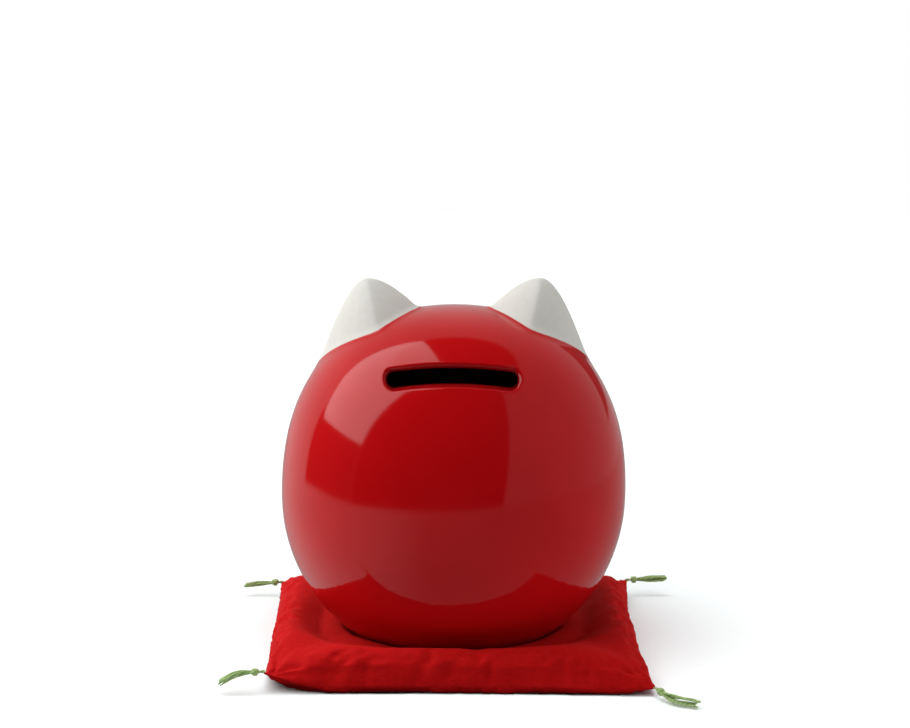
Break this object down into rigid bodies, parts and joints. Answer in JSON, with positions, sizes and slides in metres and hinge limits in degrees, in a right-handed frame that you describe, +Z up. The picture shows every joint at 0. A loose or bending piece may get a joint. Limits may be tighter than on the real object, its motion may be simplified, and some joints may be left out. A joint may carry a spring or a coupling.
{
  "type": "lucky cat coin bank",
  "caption": "Round hollow ceramic cat with two pointed ears and a coin slot in its back, seated on a square fabric cushion with a thread tassel at each corner.",
  "frame": {"origin": "the middle of the flat underside of the cushion, on the floor under the bank's axis", "axes": "+Z up; the cat faces -Y and the coin slot is at +Y; the cat's left side is at +X"},
  "size_m": [0.1474, 0.1352, 0.1201],
  "materials": {
    "red_glaze": "gloss glaze, with bare matt white ears",
    "stopper_rubber": "matt",
    "red_crepe": "crepe weave",
    "green_thread": "stranded thread"
  },
  "bodies": {
    "root": {"bank_body": "red_glaze", "bottom_stopper": "stopper_rubber", "cushion": "red_crepe", "tassel_back_left": "green_thread", "tassel_back_right": "green_thread", "tassel_front_left": "green_thread", "tassel_front_right": "green_thread"}
  },
  "joints": []
}
